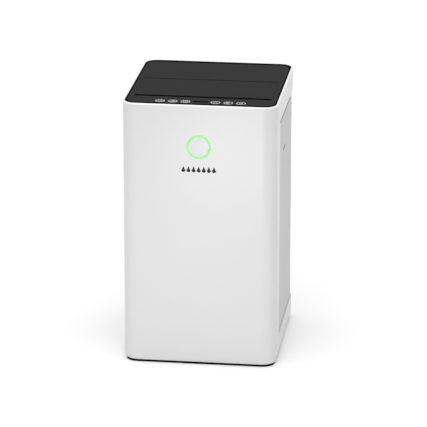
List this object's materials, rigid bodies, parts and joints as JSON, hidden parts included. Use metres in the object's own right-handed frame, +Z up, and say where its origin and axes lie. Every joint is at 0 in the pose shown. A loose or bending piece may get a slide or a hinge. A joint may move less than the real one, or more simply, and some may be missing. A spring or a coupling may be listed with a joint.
{
  "type": "compressor dehumidifier",
  "caption": "Upright box-shaped dehumidifier with round edges, black top with touch keys and air flap, front light ring, rear intake grille and slide-out water tank.",
  "frame": {"origin": "on the floor, under the middle of the body's footprint", "axes": "+Z up, front faces -Y, +X to the right of the front as seen by a person facing it"},
  "size_m": [0.28, 0.3, 0.493],
  "materials": {
    "white_shell": "smooth semi-gloss white",
    "grey_cover": "fine moulded grain",
    "black_panel": "satin black",
    "black_inner": "matte black",
    "smoked_lens": "polished smoked lens",
    "key_grey": "satin grey",
    "light_green": "lit diffuser",
    "rubber": "moulded rubber",
    "tank_plastic": "translucent smoked",
    "circuit_board": "solder mask",
    "copper": "drawn tube",
    "aluminium": "plain",
    "steel": "ground",
    "black_paint": "black enamel",
    "filter_mesh": "fine mesh"
  },
  "bodies": {
    "housing": {"body_shell": "white_shell", "light_cap": "white_shell", "humidity_sensor": "white_shell", "rear_cover": "grey_cover", "top_panel": "black_panel", "base_pan": "black_inner", "outlet_grille": "black_inner", "outlet_duct": "black_inner", "blower_housing": "black_inner", "blower_inlet_plate": "black_inner", "inner_frame": "black_inner", "drip_tray": "black_inner", "drain_spout": "black_inner", "float_switch": "black_inner", "display_lens": "smoked_lens", "key_window_1": "smoked_lens", "key_window_2": "smoked_lens", "key_window_3": "smoked_lens", "key_window_4": "smoked_lens", "key_window_5": "smoked_lens", "key_window_6": "smoked_lens", "light_ring": "light_green", "foot_1": "rubber", "foot_2": "rubber", "foot_3": "rubber", "foot_4": "rubber", "grommet_1": "rubber", "grommet_2": "rubber", "grommet_3": "rubber", "cord_gland": "rubber", "light_board": "circuit_board", "control_board": "circuit_board", "main_board": "circuit_board", "discharge_pipe": "copper", "suction_pipe": "copper", "condenser": "aluminium", "evaporator": "aluminium", "fan_motor": "aluminium", "run_capacitor": "aluminium", "flap_motor": "steel", "compressor": "black_paint", "accumulator": "black_paint"},
    "flap": {"outlet_flap": "black_panel", "flap_pin_left": "steel", "flap_pin_right": "steel", "flap_gear_sector": "key_grey"},
    "pinion": {"flap_pinion": "key_grey"},
    "fan": {"blower_wheel": "black_inner", "fan_shaft": "steel"},
    "side_left": {"side_cover_left": "grey_cover"},
    "side_right": {"side_cover_right": "grey_cover"},
    "intake": {"intake_grille": "grey_cover", "filter_frame": "filter_mesh"},
    "tank": {"water_tank": "tank_plastic", "tank_face": "grey_cover", "tank_lid": "grey_cover", "float_pin": "steel"},
    "handle": {"tank_handle": "key_grey"},
    "float": {"tank_float": "white_shell"},
    "plug": {"drain_plug": "rubber"}
  },
  "joints": [
    {"name": "flap_hinge", "type": "hinge", "parent": "housing", "child": "flap", "pos_m": [0, 0.02, 0.4897], "axis": [-1, 0, 0], "range_deg": [0, 70]},
    {"name": "pinion_spin", "type": "hinge", "parent": "housing", "child": "pinion", "pos_m": [0.112, 0.02, 0.4614], "axis": [-1, 0, 0], "range_deg": [-180, 5]},
    {"name": "fan_spin", "type": "hinge", "parent": "housing", "child": "fan", "pos_m": [0, -0.052, 0.3], "axis": [0, 1, 0], "continuous": true},
    {"name": "side_left_pull", "type": "slide", "parent": "housing", "child": "side_left", "axis": [-1, 0, 0], "range_m": [0, 0.03]},
    {"name": "side_right_pull", "type": "slide", "parent": "housing", "child": "side_right", "axis": [1, 0, 0], "range_m": [0, 0.03]},
    {"name": "intake_pull", "type": "slide", "parent": "housing", "child": "intake", "axis": [0, 1, 0], "range_m": [0, 0.04]},
    {"name": "tank_slide", "type": "slide", "parent": "housing", "child": "tank", "axis": [0, 1, 0], "range_m": [0, 0.15]},
    {"name": "handle_hinge", "type": "hinge", "parent": "tank", "child": "handle", "pos_m": [0, 0.1, 0.157], "axis": [1, 0, 0], "range_deg": [0, 90]},
    {"name": "float_hinge", "type": "hinge", "parent": "tank", "child": "float", "pos_m": [-0.082, 0.028, 0.14], "axis": [1, 0, 0], "range_deg": [0, 30]},
    {"name": "plug_pull", "type": "slide", "parent": "housing", "child": "plug", "axis": [0, 1, 0], "range_m": [0, 0.02]}
  ],
  "couplings": [
    {"joint": "pinion_spin", "follows": "flap_hinge", "ratio": -2.5}
  ]
}
